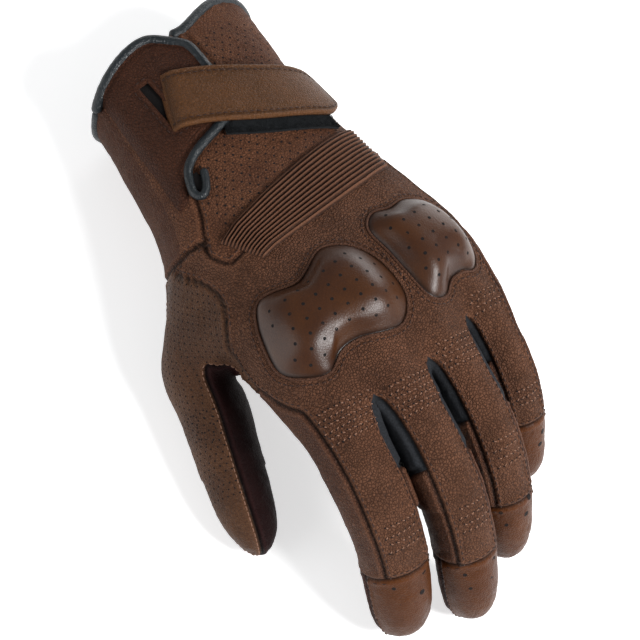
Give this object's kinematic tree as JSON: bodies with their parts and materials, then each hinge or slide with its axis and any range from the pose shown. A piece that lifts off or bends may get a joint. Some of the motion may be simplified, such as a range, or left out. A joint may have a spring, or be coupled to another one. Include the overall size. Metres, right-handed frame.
{
  "type": "riding glove",
  "caption": "Left leather riding glove resting palm down, fingers pre-curved, with domed knuckle guards, a ribbed and perforated wrist, and a slotted flap closed by a hook-and-loop strap.",
  "frame": {"origin": "middle of the bounding box's underside, on the plane that cuff, fingertips and thumb rest on", "axes": "+X towards the thumb, +Y towards the fingertips, +Z out of the back of the hand"},
  "size_m": [0.1212, 0.2322, 0.0715],
  "materials": {
    "back_panel": "grained",
    "cuff_lining": "napped",
    "cuff_piping": "piping",
    "flap_piping": "piping",
    "guard_index_middle_cover": "grained",
    "guard_index_middle_shell": "moulded",
    "guard_ring_little_cover": "grained",
    "guard_ring_little_shell": "moulded",
    "gusset_index_middle": "knitted",
    "gusset_middle_ring": "knitted",
    "gusset_ring_little": "knitted",
    "index_base_back": "grained",
    "index_base_palm": "grained",
    "index_joint_sleeve": "grained",
    "index_root_back": "grained",
    "index_root_palm": "grained",
    "index_tip_back": "grained",
    "index_tip_cap": "grained",
    "little_base_back": "grained",
    "little_base_palm": "grained",
    "little_joint_sleeve": "grained",
    "little_root_back": "grained",
    "little_root_palm": "grained",
    "little_tip_back": "grained",
    "little_tip_cap": "grained",
    "loop_pad": "napped",
    "middle_base_back": "grained",
    "middle_base_palm": "grained",
    "middle_joint_sleeve": "grained",
    "middle_root_back": "grained",
    "middle_root_palm": "grained",
    "middle_tip_back": "grained",
    "middle_tip_cap": "grained",
    "outer_side_panel": "grained",
    "palm_heel_pad": "grained",
    "palm_panel": "grained",
    "ribbed_band": "grained",
    "ring_base_back": "grained",
    "ring_base_palm": "grained",
    "ring_joint_sleeve": "grained",
    "ring_root_back": "grained",
    "ring_root_palm": "grained",
    "ring_tip_back": "grained",
    "ring_tip_cap": "grained",
    "slit_piping": "piping",
    "strap": "grained",
    "strap_hook_pad": "napped",
    "thumb_base_back": "grained",
    "thumb_base_palm": "grained",
    "thumb_joint_sleeve": "grained",
    "thumb_middle_back": "grained",
    "thumb_middle_palm": "grained",
    "thumb_root_sleeve": "grained",
    "thumb_saddle_panel": "grained",
    "thumb_tip_back": "grained",
    "thumb_tip_palm": "grained",
    "wrist_back_panel": "grained",
    "wrist_flap": "grained",
    "wrist_palm_panel": "grained"
  },
  "bodies": {
    "hand": {"back_panel": "back_panel", "cuff_lining": "cuff_lining", "cuff_piping": "cuff_piping", "flap_piping": "flap_piping", "guard_index_middle_cover": "guard_index_middle_cover", "guard_index_middle_shell": "guard_index_middle_shell", "guard_ring_little_cover": "guard_ring_little_cover", "guard_ring_little_shell": "guard_ring_little_shell", "gusset_index_middle": "gusset_index_middle", "gusset_middle_ring": "gusset_middle_ring", "gusset_ring_little": "gusset_ring_little", "index_root_back": "index_root_back", "index_root_palm": "index_root_palm", "little_root_back": "little_root_back", "little_root_palm": "little_root_palm", "loop_pad": "loop_pad", "middle_root_back": "middle_root_back", "middle_root_palm": "middle_root_palm", "outer_side_panel": "outer_side_panel", "palm_heel_pad": "palm_heel_pad", "palm_panel": "palm_panel", "ribbed_band": "ribbed_band", "ring_root_back": "ring_root_back", "ring_root_palm": "ring_root_palm", "slit_piping": "slit_piping", "thumb_base_back": "thumb_base_back", "thumb_base_palm": "thumb_base_palm", "thumb_root_sleeve": "thumb_root_sleeve", "thumb_saddle_panel": "thumb_saddle_panel", "wrist_back_panel": "wrist_back_panel", "wrist_flap": "wrist_flap", "wrist_palm_panel": "wrist_palm_panel"},
    "index_base": {"index_base_back": "index_base_back", "index_base_palm": "index_base_palm", "index_joint_sleeve": "index_joint_sleeve"},
    "index_tip": {"index_tip_back": "index_tip_back", "index_tip_cap": "index_tip_cap"},
    "middle_base": {"middle_base_back": "middle_base_back", "middle_base_palm": "middle_base_palm", "middle_joint_sleeve": "middle_joint_sleeve"},
    "middle_tip": {"middle_tip_back": "middle_tip_back", "middle_tip_cap": "middle_tip_cap"},
    "ring_base": {"ring_base_back": "ring_base_back", "ring_base_palm": "ring_base_palm", "ring_joint_sleeve": "ring_joint_sleeve"},
    "ring_tip": {"ring_tip_back": "ring_tip_back", "ring_tip_cap": "ring_tip_cap"},
    "little_base": {"little_base_back": "little_base_back", "little_base_palm": "little_base_palm", "little_joint_sleeve": "little_joint_sleeve"},
    "little_tip": {"little_tip_back": "little_tip_back", "little_tip_cap": "little_tip_cap"},
    "thumb_middle": {"thumb_middle_back": "thumb_middle_back", "thumb_middle_palm": "thumb_middle_palm", "thumb_joint_sleeve": "thumb_joint_sleeve"},
    "thumb_tip": {"thumb_tip_back": "thumb_tip_back", "thumb_tip_palm": "thumb_tip_palm"},
    "strap": {"strap": "strap", "strap_hook_pad": "strap_hook_pad"}
  },
  "joints": [
    {"name": "index_root_bend", "type": "hinge", "parent": "hand", "child": "index_base", "pos_m": [0.0229, 0.04493, 0.04886], "axis": [-0.9968, 0.0784, 0.0169], "range_deg": [-10, 30], "stiffness_Nm_per_rad": 0.05, "deforming": ["index_root_back", "index_root_palm", "gusset_index_middle"]},
    {"name": "index_middle_bend", "type": "hinge", "parent": "index_base", "child": "index_tip", "pos_m": [0.02463, 0.06757, 0.04568], "axis": [-0.9968, 0.0784, 0.0169], "range_deg": [-10, 35], "stiffness_Nm_per_rad": 0.04, "deforming": ["index_joint_sleeve"]},
    {"name": "middle_root_bend", "type": "hinge", "parent": "hand", "child": "middle_base", "pos_m": [-0.0019, 0.04814, 0.05162], "axis": [-0.9971, 0.075, 0.0162], "range_deg": [-10, 30], "stiffness_Nm_per_rad": 0.05, "deforming": ["middle_root_back", "middle_root_palm", "gusset_middle_ring"]},
    {"name": "middle_middle_bend", "type": "hinge", "parent": "middle_base", "child": "middle_tip", "pos_m": [0.00001, 0.07454, 0.04671], "axis": [-0.9971, 0.075, 0.0162], "range_deg": [-10, 35], "stiffness_Nm_per_rad": 0.04, "deforming": ["middle_joint_sleeve"]},
    {"name": "ring_root_bend", "type": "hinge", "parent": "hand", "child": "ring_base", "pos_m": [-0.02541, 0.04462, 0.04848], "axis": [-0.9971, 0.075, 0.0162], "range_deg": [-10, 30], "stiffness_Nm_per_rad": 0.05, "deforming": ["ring_root_back", "ring_root_palm", "gusset_ring_little"]},
    {"name": "ring_middle_bend", "type": "hinge", "parent": "ring_base", "child": "ring_tip", "pos_m": [-0.0238, 0.06699, 0.04372], "axis": [-0.9971, 0.075, 0.0162], "range_deg": [-10, 35], "stiffness_Nm_per_rad": 0.04, "deforming": ["ring_joint_sleeve"]},
    {"name": "little_root_bend", "type": "hinge", "parent": "hand", "child": "little_base", "pos_m": [-0.04664, 0.03545, 0.04358], "axis": [-0.9971, 0.075, 0.0162], "range_deg": [-10, 30], "stiffness_Nm_per_rad": 0.05, "deforming": ["little_root_back", "little_root_palm"]},
    {"name": "little_middle_bend", "type": "hinge", "parent": "little_base", "child": "little_tip", "pos_m": [-0.04544, 0.05213, 0.03975], "axis": [-0.9971, 0.075, 0.0162], "range_deg": [-10, 35], "stiffness_Nm_per_rad": 0.04, "deforming": ["little_joint_sleeve"]},
    {"name": "thumb_root_bend", "type": "hinge", "parent": "hand", "child": "thumb_middle", "pos_m": [0.0408, -0.00088, 0.01554], "axis": [-0.4839, 0.4083, 0.774], "range_deg": [-8, 8], "stiffness_Nm_per_rad": 0.06, "deforming": ["thumb_root_sleeve"]},
    {"name": "thumb_end_bend", "type": "hinge", "parent": "thumb_middle", "child": "thumb_tip", "pos_m": [0.04629, 0.02482, 0.01306], "axis": [-0.545, 0.2553, 0.7986], "range_deg": [-8, 10], "stiffness_Nm_per_rad": 0.05, "deforming": ["thumb_joint_sleeve"]},
    {"name": "strap_lift", "type": "hinge", "parent": "hand", "child": "strap", "pos_m": [0.00523, -0.08649, 0.04793], "axis": [0.3844, 0.9179, 0.0983], "range_deg": [0, 105]}
  ]
}
